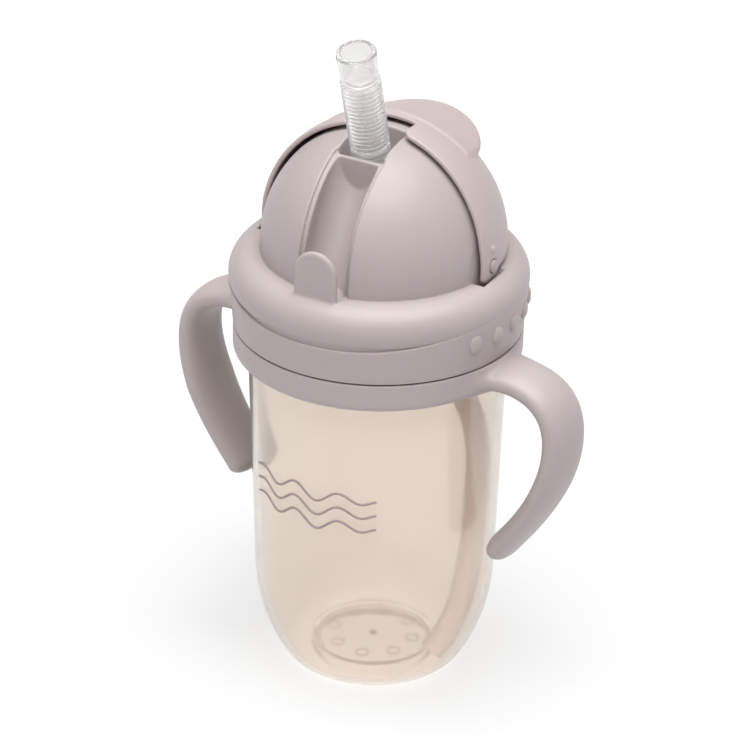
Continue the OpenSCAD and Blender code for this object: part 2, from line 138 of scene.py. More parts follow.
class Turned:
    """Signed distance to a solid of revolution, looked up in a table of its section."""

    def __init__(self, points, step=0.15, margin=3.0):
        pts = np.array(points, float)
        self.step = step
        self.low = np.array([-1.0, pts[:, 1].min() - margin])
        size = np.array([pts[:, 0].max() + margin, pts[:, 1].max() + margin]) - self.low
        self.shape = np.ceil(size / step).astype(int) + 2
        r = self.low[0] + step * np.arange(self.shape[0])
        z = self.low[1] + step * np.arange(self.shape[1])
        rr, zz = np.meshgrid(np.abs(r), z, indexing="ij")
        far = np.full(rr.shape, 1e9)
        inside = np.zeros(rr.shape, bool)
        for (ax, az), (bx, bz) in zip(pts, np.roll(pts, -1, axis=0)):
            ex, ez = bx - ax, bz - az
            length = ex * ex + ez * ez
            if length < 1e-12:
                continue
            # edges on the axis are inside the solid, so they bound nothing
            t = np.clip(((rr - ax) * ex + (zz - az) * ez) / length, 0, 1)
            if not (abs(ax) < 1e-6 and abs(bx) < 1e-6):
                far = np.minimum(far, (rr - ax - t * ex) ** 2 + (zz - az - t * ez) ** 2)
            if abs(ez) > 1e-12:
                cross = ((az > zz) != (bz > zz)) & (rr < ax + ex * (zz - az) / ez)
                inside ^= cross
        self.table = np.where(inside, -1, 1) * np.sqrt(far)

    def __call__(self, r, z):
        u = (np.clip(r, 0, 1e3) - self.low[0]) / self.step
        v = (z - self.low[1]) / self.step
        u = np.clip(u, 0, self.shape[0] - 1.001)
        v = np.clip(v, 0, self.shape[1] - 1.001)
        i, j = u.astype(int), v.astype(int)
        u, v = u - i, v - j
        t = self.table
        return ((t[i, j] * (1 - u) + t[i + 1, j] * u) * (1 - v)
                + (t[i, j + 1] * (1 - u) + t[i + 1, j + 1] * u) * v)


def skin(name, field, low, high, step, tighten=2):
    """The surface where a field is zero, as quads with their corners moved exactly onto it."""
    axes = [np.arange(a - step, b + 2 * step, step) for a, b in zip(low, high)]
    nx, ny, nz = (len(a) for a in axes)
    value = np.empty((nx, ny, nz), np.float32)
    yy, zz = np.meshgrid(axes[1], axes[2], indexing="ij")
    for i, x in enumerate(axes[0]):
        value[i] = field(np.full(yy.shape, x), yy, zz)
    solid = value < 0
    mixed = np.zeros((nx - 1, ny - 1, nz - 1), np.int8)
    for dx in (0, 1):
        for dy in (0, 1):
            for dz in (0, 1):
                mixed += solid[dx:nx - 1 + dx, dy:ny - 1 + dy, dz:nz - 1 + dz]
    cells = np.argwhere((mixed > 0) & (mixed < 8))
    index = -np.ones((nx - 1, ny - 1, nz - 1), np.int32)
    index[tuple(cells.T)] = np.arange(len(cells))
    total = np.zeros((len(cells), 3))
    hits = np.zeros(len(cells))
    corners = [(a, b, c) for a in (0, 1) for b in (0, 1) for c in (0, 1)]
    for a in corners:
        for axis in range(3):
            if a[axis]:
                continue
            b = list(a)
            b[axis] = 1
            va = value[tuple((cells + a).T)]
            vb = value[tuple((cells + b).T)]
            cut = (va < 0) != (vb < 0)
            t = np.where(cut, va / np.where(cut, va - vb, 1), 0)
            point = np.tile(np.array(a, float), (len(cells), 1))
            point[:, axis] += t
            total += point * cut[:, None]
            hits += cut
    place = np.array([a[0] for a in axes]) + step * (cells + total / hits[:, None])
    faces = []
    for axis in range(3):
        u, v = (axis + 1) % 3, (axis + 2) % 3
        edge = np.argwhere(np.diff(solid.astype(np.int8), axis=axis) != 0)
        keep = (edge[:, u] > 0) & (edge[:, v] > 0)
        keep &= (edge[:, u] < solid.shape[u] - 1) & (edge[:, v] < solid.shape[v] - 1)
        edge = edge[keep]
        ring = []
        for du, dv in ((1, 1), (0, 1), (0, 0), (1, 0)):
            c = edge.copy()
            c[:, u] -= du
            c[:, v] -= dv
            ring.append(index[tuple(c.T)])
        ring = np.stack(ring, 1)
        leaving = solid[tuple(edge.T)]
        ring[~leaving] = ring[~leaving][:, ::-1]
        faces.append(ring)
    faces = np.concatenate(faces)
    small = 0.02
    for _ in range(tighten):
        x, y, z = place.T
        here = field(x, y, z)
        slope = np.stack([field(x + small, y, z) - here, field(x, y + small, z) - here,
                          field(x, y, z + small) - here], 1) / small
        size = np.maximum((slope ** 2).sum(1), 0.25)
        move = -here[:, None] * slope / size[:, None]
        length = np.linalg.norm(move, axis=1)
        place += move * np.minimum(1, 0.5 * step / np.maximum(length, 1e-9))[:, None]
    return mesh_piece(name, place * MM, faces)


def mesh_piece(name, points, faces):
    mesh = bpy.data.meshes.new(name)
    points = np.asarray(points, np.float32)
    faces = np.asarray(faces, np.int32)
    mesh.vertices.add(len(points))
    mesh.vertices.foreach_set("co", points.ravel())
    mesh.loops.add(faces.size)
    mesh.loops.foreach_set("vertex_index", faces.ravel())
    mesh.polygons.add(len(faces))
    mesh.polygons.foreach_set("loop_start", np.arange(0, faces.size, faces.shape[1], dtype=np.int32))
    mesh.polygons.foreach_set("loop_total", np.full(len(faces), faces.shape[1], dtype=np.int32))
    mesh.update(calc_edges=True)
    mesh.validate()
    for p in mesh.polygons:
        p.use_smooth = True
    piece = bpy.data.objects.new(name, mesh)
    bpy.context.scene.collection.objects.link(piece)
    return piece


# ---------------------------------------------------------------- materials
def material(name):
    mat = bpy.data.materials.new(name)
    mat.use_nodes = True
    tree = mat.node_tree
    tree.nodes.clear()
    out = tree.nodes.new("ShaderNodeOutputMaterial")
    shader = tree.nodes.new("ShaderNodeBsdfPrincipled")
    tree.links.new(shader.outputs["BSDF"], out.inputs["Surface"])
    return mat, tree, shader


def node(tree, kind, **values):
    made = tree.nodes.new(kind)
    for key, value in values.items():
        if key in made.inputs:
            made.inputs[key].default_value = value
        else:
            setattr(made, key, value)
    return made


def noise(tree, scale, detail=2.0):
    place = tree.nodes.new("ShaderNodeTexCoord")
    made = node(tree, "ShaderNodeTexNoise", Scale=scale, Detail=detail)
    tree.links.new(place.outputs["Object"], made.inputs["Vector"])
    return made


def satin_plastic(name, tone, other, rough=0.42):
    """Moulded plastic: a faint cloudy tone, a fine spark-eroded grain and slightly uneven gloss."""
    mat, tree, shader = material(name)
    cloud = noise(tree, 45.0, 3.0)
    mix = node(tree, "ShaderNodeMix", data_type="RGBA")
    mix.inputs[6].default_value = (*tone, 1)
    mix.inputs[7].default_value = (*other, 1)
    tree.links.new(cloud.outputs["Fac"], mix.inputs[0])
    tree.links.new(mix.outputs[2], shader.inputs["Base Color"])
    grain = noise(tree, 2600.0, 2.0)
    bump = node(tree, "ShaderNodeBump", Strength=0.10, Distance=0.00006)
    tree.links.new(grain.outputs["Fac"], bump.inputs["Height"])
    tree.links.new(bump.outputs["Normal"], shader.inputs["Normal"])
    gloss = node(tree, "ShaderNodeMapRange")
    gloss.inputs["To Min"].default_value = rough - 0.04
    gloss.inputs["To Max"].default_value = rough + 0.06
    tree.links.new(noise(tree, 130.0, 3.0).outputs["Fac"], gloss.inputs["Value"])
    tree.links.new(gloss.outputs["Result"], shader.inputs["Roughness"])
    shader.inputs["IOR"].default_value = 1.48
    shader.inputs["Specular IOR Level"].default_value = 0.45
    shader.inputs["Subsurface Weight"].default_value = 0.12
    shader.inputs["Subsurface Radius"].default_value = (0.004, 0.003, 0.0028)
    shader.inputs["Subsurface Scale"].default_value = 0.5
    return mat


def clear_plastic(name, tone, other, rough, clear, tint):
    """See-through plastic or silicone with its own faint haze. Lamps shine through it, tinted."""
    mat, tree, shader = material(name)
    cloud = noise(tree, 30.0, 2.0)
    mix = node(tree, "ShaderNodeMix", data_type="RGBA")
    mix.inputs[6].default_value = (*tone, 1)
    mix.inputs[7].default_value = (*other, 1)
    tree.links.new(cloud.outputs["Fac"], mix.inputs[0])
    tree.links.new(mix.outputs[2], shader.inputs["Base Color"])
    gloss = node(tree, "ShaderNodeMapRange")
    gloss.inputs["To Min"].default_value = max(rough - 0.03, 0.0)
    gloss.inputs["To Max"].default_value = rough + 0.04
    tree.links.new(noise(tree, 90.0, 3.0).outputs["Fac"], gloss.inputs["Value"])
    tree.links.new(gloss.outputs["Result"], shader.inputs["Roughness"])
    shader.inputs["IOR"].default_value = 1.45
    shader.inputs["Transmission Weight"].default_value = clear
    through = tree.nodes.new("ShaderNodeBsdfTransparent")
    through.inputs["Color"].default_value = (*tint, 1)
    lamp = tree.nodes.new("ShaderNodeLightPath")
    both = tree.nodes.new("ShaderNodeMixShader")
    tree.links.new(lamp.outputs["Is Shadow Ray"], both.inputs["Fac"])
    tree.links.new(shader.outputs["BSDF"], both.inputs[1])
    tree.links.new(through.outputs["BSDF"], both.inputs[2])
    tree.links.new(both.outputs["Shader"], tree.nodes["Material Output"].inputs["Surface"])
    return mat


LID_MAT = satin_plastic("lid_satin_plastic", (0.420, 0.365, 0.360), (0.435, 0.378, 0.372))
# The cover is the lid's plastic made lighter: painted light, standing in for the brighter light the cover shows
COVER_LIT_MAT = satin_plastic("cover_satin_plastic_painted_light", (0.460, 0.388, 0.383), (0.475, 0.400, 0.394))
PIN_MAT = satin_plastic("pin_plastic", (0.40, 0.342, 0.338), (0.415, 0.354, 0.349), 0.36)
BOTTLE_MAT = clear_plastic("bottle_tinted_plastic", (0.93, 0.855, 0.785), (0.95, 0.875, 0.805), 0.08, 0.86,
                           (0.975, 0.97, 0.96))
STRAW_MAT = clear_plastic("straw_clear_silicone", (0.86, 0.855, 0.845), (0.89, 0.885, 0.875), 0.14, 0.88,
                          (0.95, 0.95, 0.95))
TUBE_MAT = clear_plastic("tube_clear_silicone", (0.96, 0.87, 0.84), (0.98, 0.90, 0.87), 0.22, 0.82,
                         (0.96, 0.95, 0.94))
SEAL_MAT = clear_plastic("seal_silicone", (0.84, 0.84, 0.83), (0.88, 0.88, 0.87), 0.35, 0.5, (0.9, 0.9, 0.9))
# Darker, less clear copy of the bottle's plastic: painted shade for the moulded marks under the base, which are
# darkened only by refraction
SIGN_SHADE_MAT = clear_plastic("base_mark_painted_shade", (0.36, 0.29, 0.26), (0.40, 0.33, 0.30), 0.25, 0.35,
                         (0.85, 0.80, 0.78))
MARK_MAT = satin_plastic("mark_ink", (0.33, 0.26, 0.26), (0.36, 0.29, 0.29), 0.5)


def place(piece, mat, slot, body, *nodes):
    piece.data.materials.append(mat)
    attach(piece, body)
    if nodes:
        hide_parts(*nodes)
    return piece


# ---------------------------------------------------------------- lid
# Straw channel: a point on its middle line in Y and Z, its slope and its radius
CHANNEL_AT = (-16.9, PIVOT_Z + 23.2)
CHANNEL_TILT = math.radians(30.9)
CHANNEL_R, CHANNEL_LOW, CHANNEL_OUT = 6.2, 122.1, 33.0
SHELF_HALF, SHELF_LOW, SHELF_OUT = 7.35, 122.3, 32.4
WELL_FRONT, WELL_BACK, WELL_HALF, WELL_FLOOR = -11.0, 2.8, 6.6, 139.0
CROSS_WALL, CROSS_TOP = 1.3, 152.6
STRAW_Y = -1.7
STRAW_R = 5.3
EAR_R, POCKET_R, POCKET_OUT = 4.2, 6.8, 33.95
VENT_X, VENT_Y, VENT_R = -17.0, 8.0, 2.2
TONGUE_HALF, TONGUE_TOP, TONGUE_Y, TONGUE_T = 6.2, 135.4, -33.8, 0.9
BUMP_Z, BUMP_STEP, BUMP_SHIFT = 109.9, 12.0, 2.5
BUMP_W, BUMP_H, BUMP_MID, BUMP_OUT, BUMP_POWER = 2.15, 2.5, 38.9, 1.25, 2.4


def lid_section():
    turn = SHOULDER_R - SHOULDER_IN
    mid = (SHOULDER_R - turn, LID_TORUS_Z)
    tuck = -math.degrees(math.acos((RING_R - mid[0]) / turn))
    pts = [(SKIRT_IN, SEAM_Z + 0.2, 0.3), (RING_R, SEAM_Z + 0.2, 0.45)]
    pts += arc(mid, turn, tuck, 106, 50)
    pts += arc((0, PIVOT_Z), DOME_R, 0, 90, 60)
    pts += arc((0, PIVOT_Z), DOME_R - LID_WALL, 90, 0, 60)
    pts += [(DOME_R - LID_WALL, DECK_Z, 0.8), (0, DECK_Z), (0, DECK_Z - DECK_T),
            (SLEEVE_IN, DECK_Z - DECK_T, 0.3), (SLEEVE_IN, LID_LOW[2], 0.4), (SLEEVE_OUT, LID_LOW[2], 0.4),
            (SLEEVE_OUT, DECK_Z, 0.6)]
    pts += arc(mid, turn - LID_WALL, 90, 0, 30)
    pts += [(SKIRT_IN + 0.6, 111.6)]
    return Turned(soften(pts))


LID_TURNED = lid_section()


def dome_radius(x, y, z):
    return np.sqrt(x * x + y * y + np.maximum(z - PIVOT_Z, 0) ** 2)


def channel_distance(x, y, z):
    """Distance from the channel's middle line, or from the flat sheet that opens it outwards."""
    dy, dz = y - CHANNEL_AT[0], z - CHANNEL_AT[1]
    out = -dy * math.cos(CHANNEL_TILT) + dz * math.sin(CHANNEL_TILT)
    return np.hypot(x, np.minimum(out, 0))


def lid_field(x, y, z):
    r = np.hypot(x, y)
    lid = LID_TURNED(r, z)
    dome = dome_radius(x, y, z)
    across = channel_distance(x, y, z)
    fill = dome - (DOME_R - 0.8)
    front = WELL_FRONT - CROSS_WALL
    # walls of the channel, the well and the conduit under it
    wall = s_max(across - (CHANNEL_R + 1.3), y - (front + 0.1), 0.3)
    well = box_field(x, y, z, (-WELL_HALF - 1.3, front, WELL_FLOOR - 1.3),
                     (WELL_HALF + 1.3, WELL_BACK + 2.6, 170), 0.3)
    tube = s_max(np.hypot(x, y - STRAW_Y) - (STRAW_R + 1.7), np.maximum(z - WELL_FLOOR, DECK_Z - 1 - z), 0.3)
    inner = s_min(s_min(wall, well, 0.4), tube, 0.5)
    lid = s_min(lid, s_max(inner, np.maximum(fill, DECK_Z - 0.5 - z), 0.3), 0.3)
    # tongue at the front of the dome
    plate = np.hypot(x, np.maximum(z - (TONGUE_TOP - TONGUE_HALF), 0)) - TONGUE_HALF
    plate = np.maximum(plate, (SHOULDER_Z - 2.5) - z)
    tongue = s_max(plate, np.abs(y - TONGUE_Y) - TONGUE_T, 1.1)
    # grip bumps at both sides of the skirt
    ax = np.abs(x)
    a = np.arctan2(y, ax)
    for i in range(-2, 3):
        turn = math.radians(BUMP_STEP * i + BUMP_SHIFT)
        along = (a - turn) * RING_R
        bump = sum(np.abs(v) ** BUMP_POWER for v in
                   (along / BUMP_W, (z - BUMP_Z) / BUMP_H, (r - BUMP_MID) / BUMP_OUT)) ** (1 / BUMP_POWER)
        lid = s_min(lid, (bump - 1) * BUMP_OUT, 0.3)
    lid = s_min(lid, tongue, 0.9)
    # shallow shelf beside the channel
    shelf = np.maximum(ax - SHELF_HALF, (DOME_R - 1) - dome)
    shelf = np.maximum(shelf, np.maximum(y - WELL_FRONT, SHELF_LOW - z))
    shelf = np.maximum(shelf, r - SHELF_OUT)
    lid = s_max(lid, -shelf, 0.35)
    # the channel, the well, the way for the straw and the low front wall of the well
    cut = s_max(across - CHANNEL_R, np.maximum(y - front, CHANNEL_LOW - z), 0.4)
    cut = np.maximum(cut, r - CHANNEL_OUT)
    lid = s_max(lid, -cut, 0.5)
    hole = box_field(x, y, z, (-WELL_HALF, WELL_FRONT, WELL_FLOOR), (WELL_HALF, WELL_BACK, 175), 0.8)
    lid = s_max(lid, -hole, 0.45)
    gap = box_field(x, y, z, (-WELL_HALF, front - 1.5, CROSS_TOP), (WELL_HALF, WELL_FRONT + 1.5, 175), 0.4)
    lid = s_max(lid, -gap, 0.4)
    bore = np.hypot(x, y - STRAW_Y) - (STRAW_R + 0.4)
    bore = np.maximum(bore, np.maximum(DECK_Z - 4 - z, z - WELL_FLOOR - 5))
    lid = s_max(lid, -bore, 0.3)
    # pockets for the cover's ears, holes for the pins and for the vent valve
    ear = np.hypot(y, z - PIVOT_Z)
    pocket = np.maximum(np.maximum(ear - POCKET_R, ax - POCKET_OUT), (DOME_R + 0.05) - dome)
    lid = s_max(lid, -pocket, 0.5)
    lid = s_max(lid, -np.maximum(ear - 1.8, 26.5 - ax), 0.1)
    vent = np.hypot(x - VENT_X, y - VENT_Y) - VENT_R
    return np.maximum(lid, -np.maximum(vent, np.abs(z - DECK_Z + 1) - 3))


lid = skin("lid_shell", lid_field, LID_LOW, LID_HIGH, 0.45)
place(lid, LID_MAT, "lid_plastic", "lid", "lid_body")


# ---------------------------------------------------------------- flip cover
COVER_IN, COVER_OUT = DOME_R + 1.1, DOME_R + 2.4
COVER_FRONT, COVER_LOW, COVER_CORNER = -4.6, -2.0, 2.2
NOTCH_HALF, NOTCH_BACK = 7.3, 6.0
LIP_SLOPE = math.radians(15)
LIP_OUT, LIP_WALL, LIP_R, LIP_MID = COVER_OUT + 0.5, 1.6, 21.0, 10.5


def cover_field(x, y, z):
    h = z - PIVOT_Z
    ball = np.sqrt(x * x + y * y + h * h)
    shell = np.abs(ball - (COVER_IN + COVER_OUT) / 2) - (COVER_OUT - COVER_IN) / 2
    front = COVER_FRONT + 0.09 * np.maximum(h - 6, 0) - y
    side = round_max(front, -EAR_R - h, COVER_CORNER)
    rear = s_min(COVER_LOW - h, np.minimum(np.hypot(y, h) - EAR_R, y), 0.6)
    keep = s_max(side, rear, 0.3)
    corner = np.hypot(np.maximum(np.abs(x) - NOTCH_HALF + 2, 0), np.maximum(y - NOTCH_BACK + 2, 0)) - 2
    notch = np.maximum(corner, -h)
    keep = s_max(keep, -notch, 3.0)
    # thumb lip, part of a tilted cylinder
    up = y * math.sin(LIP_SLOPE) + h * math.cos(LIP_SLOPE)
    radial = np.hypot(x, up)
    lip = np.abs(radial - (LIP_OUT - LIP_WALL / 2)) - LIP_WALL / 2
    plan = np.hypot(x, y - LIP_MID) - LIP_R
    lip = s_max(lip, np.maximum(plan, NOTCH_BACK + 2.5 - y), 0.9)
    lip = np.maximum(lip, COVER_IN + 0.3 - ball)
    lip = np.maximum(lip, -h)
    body = s_max(shell, keep, 0.55)
    body = s_min(body, lip, 0.9)
    # pin holes and the small click bumps over them
    ear = np.hypot(y, h)
    click = np.sqrt((np.abs(x) - 32.9) ** 2 + y * y + (h - 4.8) ** 2) - 1.0
    body = s_min(body, click, 0.3)
    return s_max(body, -(ear - 1.88), 0.15)


COVER_BOX = [[c / MM for c in corner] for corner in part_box("flip_cover")]
cover = skin("cover_shell", cover_field, COVER_BOX[0], COVER_BOX[1], 0.4)
place(cover, COVER_LIT_MAT, "cover_plastic", "cover", "flip_cover")


# ---------------------------------------------------------------- ring with its two handles
HANDLE_TURN = math.radians(-4)
HANDLE_W, HANDLE_T, HANDLE_POWER, HANDLE_ROOT_R = 9.2, 3.5, 2.3, 36.6


def bezier(p, steps):
    t = np.linspace(0, 1, steps + 1)[:, None]
    p = np.array(p, float)
    return (1 - t) ** 3 * p[0] + 3 * (1 - t) ** 2 * t * p[1] + 3 * (1 - t) * t ** 2 * p[2] + t ** 3 * p[3]


HANDLE_LINE = np.vstack([
    bezier([(35.6, 97.0), (50.4, 98.4), (57.6, 93.6), (57.6, 82.3)], 60),
    bezier([(57.6, 82.3), (57.6, 65.6), (42.7, 48.9), (41.7, 47.2)], 70)[1:]])
LINE_DIST = np.r_[0, np.cumsum(np.linalg.norm(np.diff(HANDLE_LINE, axis=0), axis=1))]


def handle_section(px, pz):
    """Distance off the handle's middle line and the way along it, for points in its plane."""
    best = np.full(px.shape, 1e9)
    side = np.zeros(px.shape)
    along = np.zeros(px.shape)
    past = np.zeros(px.shape)
    last = len(HANDLE_LINE) - 2
    for i in range(last + 1):
        a, b = HANDLE_LINE[i], HANDLE_LINE[i + 1]
        ex, ez = b - a
        n = math.hypot(ex, ez)
        t = ((px - a[0]) * ex + (pz - a[1]) * ez) / (n * n)
        tc = np.clip(t, 0, 1)
        d = (px - a[0] - tc * ex) ** 2 + (pz - a[1] - tc * ez) ** 2
        near = d < best
        best = np.where(near, d, best)
        off = ((px - a[0]) * -ez + (pz - a[1]) * ex) / n
        side = np.where(near, off, side)
        along = np.where(near, LINE_DIST[i] + tc * n, along)
        past = np.where(near, np.maximum(t - 1, 0) * n if i == last else 0, past)
    return side, along / LINE_DIST[-1], past


class HandleTable:
    """handle_section looked up in a table, because every layer of the solid asks for it again."""

    def __init__(self, step=0.25):
        self.step = step
        self.low = np.array([28.0, 38.0])
        self.shape = (int(36 / step), int(68 / step))
        px, pz = np.meshgrid(self.low[0] + step * np.arange(self.shape[0]),
                             self.low[1] + step * np.arange(self.shape[1]), indexing="ij")
        self.tables = handle_section(px, pz)

    def __call__(self, px, pz):
        u = np.clip((px - self.low[0]) / self.step, 0, self.shape[0] - 1.001)
        v = np.clip((pz - self.low[1]) / self.step, 0, self.shape[1] - 1.001)
        i, j = u.astype(int), v.astype(int)
        u, v = u - i, v - j
        return [(t[i, j] * (1 - u) + t[i + 1, j] * u) * (1 - v)
                + (t[i, j + 1] * (1 - u) + t[i + 1, j + 1] * u) * v for t in self.tables]


HANDLE_TABLE = HandleTable()


def handle_width(s):
    root = 2.6 * np.clip(1 - s / 0.16, 0, 1) ** 2
    return HANDLE_W - 1.35 * np.abs(np.cos(np.radians(10 + 130 * np.clip((s - 0.1) / 0.9, 0, 1)))) + root


def ring_section():
    ring_in = BODY_R + 0.4
    web_in = 32.4
    r = 2.2
    pts = [(ring_in, RING_LOW[2], 0.3)]
    pts += arc((RING_R - r, RING_LOW[2] + r), r, -90, 0, 16)
    step_in, step_z = RING_R - 1.6, RING_HIGH[2] - 1.1
    pts += [(RING_R, RING_HIGH[2], 0.4), (step_in, RING_HIGH[2], 0.3), (step_in, step_z, 0.4),
            (web_in, step_z, 0.3), (web_in, 98.0, 0.3), (32.3, 98.0)]
    pts += arc((BODY_R - BODY_ROUND, BODY_TOP), 3.0, 85, 0, 10)
    return Turned(soften(pts))


RING_TURNED = ring_section()


def grip_field(x, y, z):
    c, s = math.cos(-HANDLE_TURN), math.sin(-HANDLE_TURN)
    hx, hy = x * c - y * s, x * s + y * c
    r = np.hypot(x, y)
    ring = RING_TURNED(r, z)
    side, along, past = HANDLE_TABLE(np.abs(hx), z)
    w = handle_width(along)
    u, v = np.abs(side) / HANDLE_T, np.abs(hy) / w
    e = past / HANDLE_T
    level = (u ** HANDLE_POWER + v ** HANDLE_POWER + (e ** 2) ** (HANDLE_POWER / 2)) ** (1 / HANDLE_POWER)
    handle = (level - 1) * HANDLE_T
    handle = np.maximum(handle, HANDLE_ROOT_R - r)
    both = s_min(ring, handle, 2.6)
    # nothing grows inwards of the ring, nor over its seam with the lid
    both = np.maximum(both, np.maximum((BODY_R + 0.35) - r, z - RING_HIGH[2]))
    return np.minimum(both, ring)


HANDLE_BOX = [[c / MM for c in corner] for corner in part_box("right_handle")]
GRIP_X = HANDLE_BOX[1][0]
grips = skin("handle_collar", grip_field, (-GRIP_X, -RING_R, HANDLE_BOX[0][2]),
             (GRIP_X, RING_R, RING_HIGH[2]), 0.45)
place(grips, LID_MAT, "lid_plastic", "handles", "handle_ring", "left_handle", "right_handle")


# ---------------------------------------------------------------- turned pieces
def turned(name, section, sides=160):
    """A closed section turned about the vertical axis. It may be a function of the angle from +X."""
    a = 2 * np.pi * np.arange(sides) / sides
    rows = np.array([section(t) if callable(section) else section for t in a], float)
    n = rows.shape[1]
    r, z = rows[..., 0], rows[..., 1]
    points = np.stack([np.cos(a)[:, None] * r, np.sin(a)[:, None] * r, z], -1)
    points = points.reshape(-1, 3)
    i, j = np.meshgrid(np.arange(sides), np.arange(n), indexing="ij")
    i, j = i.ravel(), j.ravel()
    k, m = (i + 1) % sides, (j + 1) % n
    faces = np.stack([i * n + j, k * n + j, k * n + m, i * n + m], 1)
    piece = mesh_piece(name, points * MM, faces)
    tidy_mesh(piece)
    return piece


def tidy_mesh(piece):
    bm = bmesh.new()
    bm.from_mesh(piece.data)
    bmesh.ops.remove_doubles(bm, verts=bm.verts, dist=1e-7)
    bmesh.ops.dissolve_degenerate(bm, edges=bm.edges, dist=1e-8)
    bmesh.ops.recalc_face_normals(bm, faces=bm.faces)
    bm.to_mesh(piece.data)
    bm.free()
    for p in piece.data.polygons:
        p.use_smooth = True


# Bottle: outer wall, base rounding in two arcs, hollow under it, shoulder and neck
LOW_R, LOW_Z, BASE_ARC, FOOT_R = 32.4, 28.9, 52.0, 17.5
TILT = math.atan((BODY_R - LOW_R) / (BODY_TOP - LOW_Z))
ARC_A = (LOW_R - BASE_ARC * math.cos(TILT), LOW_Z + BASE_ARC * math.sin(TILT))
FOOT_ARC = ((FOOT_R - ARC_A[0]) ** 2 + ARC_A[1] ** 2 - BASE_ARC ** 2) / (2 * (ARC_A[1] - BASE_ARC))
ARC_B = (FOOT_R, FOOT_ARC)
FOOT_TURN = math.degrees(math.atan2(ARC_A[1] - ARC_B[1], ARC_B[0] - ARC_A[0]))
WALL, NECK_R, NECK_T, LEDGE_Z, RIM_LOW = 1.7, 31.0, 2.2, 97.6, 105.0
HOLLOW_Z, FLOOR_R = 4.2, 16.7
FLOOR_Z = HOLLOW_Z + WALL


def line(a, b, steps):
    return [(a[0] + (b[0] - a[0]) * i / steps, a[1] + (b[1] - a[1]) * i / steps) for i in range(steps + 1)]


def bottle_section():
    deg = math.degrees(TILT)
    outer = [(0.0, HOLLOW_Z)] + line((6, HOLLOW_Z), (14.4, HOLLOW_Z), 3)
    outer += arc((14.5, HOLLOW_Z - 1.0), 1.0, 90, 10, 6) + arc((FOOT_R - 1.0, 1.0), 1.0, 190, 270, 6)
    outer += arc(ARC_B, FOOT_ARC, -90, -FOOT_TURN, 20)
    outer += arc(ARC_A, BASE_ARC, -FOOT_TURN, -deg, 40)
    outer += line((LOW_R, LOW_Z), (BODY_R, BODY_TOP), 24)[1:]
    outer += arc((BODY_R - BODY_ROUND, BODY_TOP), BODY_ROUND, 0, 90, 10)
    outer += [(NECK_R + 0.3, LEDGE_Z), (NECK_R, LEDGE_Z + 0.3), (NECK_R, RIM_LOW)]
    outer += arc((NECK_R - 0.7, RIM_Z - 0.7), 0.7, 0, 90, 5)
    outer += arc((NECK_R - 1.5, RIM_Z - 0.7), 0.7, 90, 180, 5)
    inner = [(NECK_R - NECK_T, RIM_LOW), (NECK_R - NECK_T, LEDGE_Z - 1.2)]
    inner += arc((BODY_R - BODY_ROUND, BODY_TOP - WALL), 0.9, 90, 0, 6)
    inner += line((BODY_R - WALL, 93.0), (LOW_R - WALL, LOW_Z), 24)[1:-1]
    inner += arc(ARC_A, BASE_ARC - WALL, -deg, -FOOT_TURN, 40)
    inner += arc(ARC_B, FOOT_ARC - WALL, -FOOT_TURN, -88, 20)
    inner += [(FOOT_R - 0.3, 2.3), (FLOOR_R, 3.2)] + arc((FLOOR_R - 0.5, FLOOR_Z - 0.5), 0.5, 0, 90, 5)
    inner += line((FLOOR_R - 2, FLOOR_Z), (6, FLOOR_Z), 3) + [(0.0, FLOOR_Z)]
    return outer + inner


bottle = turned("bottle_wall", bottle_section(), 224)
place(bottle, BOTTLE_MAT, "bottle", "bottle", "bottle_body")


def along(name, points, radius, sides=12, closed=False, bore=None):
    """A round rod, or a tube with a bore, along a line of points."""
    p = np.array(points, float)
    n = len(p)
    if closed:
        head = np.roll(p, -1, 0) - np.roll(p, 1, 0)
    else:
        head = np.gradient(p, axis=0)
    head /= np.linalg.norm(head, axis=1)[:, None]
    up = np.array([0.0, 1.0, 0.0]) if abs(head[0][1]) < 0.9 else np.array([1.0, 0.0, 0.0])
    us = []
    u = np.cross(head[0], up)
    for h in head:
        u = u - h * (u @ h)
        u /= np.linalg.norm(u)
        us.append(u)
    us = np.array(us)
    vs = np.cross(head, us)
    a = 2 * np.pi * np.arange(sides) / sides
    radius = np.broadcast_to(np.array(radius, float), (n,))
    around = us[:, None] * np.cos(a)[:, None] + vs[:, None] * np.sin(a)[:, None]
    rings = [p[:, None] + radius[:, None, None] * around]
    if bore:
        rings.append(p[:, None] + bore * around)
    pts = np.concatenate([r.reshape(-1, 3) for r in rings])
    faces = []
    for w in range(len(rings)):
        base = w * n * sides
        for i in range(n if closed else n - 1):
            for k in range(sides):
                a0, a1 = base + i * sides + k, base + i * sides + (k + 1) % sides
                b0, b1 = base + (i + 1) % n * sides + k, base + (i + 1) % n * sides + (k + 1) % sides
                faces.append((a0, a1, b1, b0) if w == 0 else (a0, b0, b1, a1))
    if bore:
        for i in (0, n - 1):
            for k in range(sides):
                o0, o1 = i * sides + k, i * sides + (k + 1) % sides
                q0, q1 = o0 + n * sides, o1 + n * sides
                faces.append((o0, q0, q1, o1) if i == 0 else (o0, o1, q1, q0))
    piece = mesh_piece(name, pts * MM, faces)
    if not bore and not closed:
        bm = bmesh.new()
        bm.from_mesh(piece.data)
        bmesh.ops.holes_fill(bm, edges=[e for e in bm.edges if e.is_boundary], sides=0)
        bm.to_mesh(piece.data)
        bm.free()
    tidy_mesh(piece)
    return piece


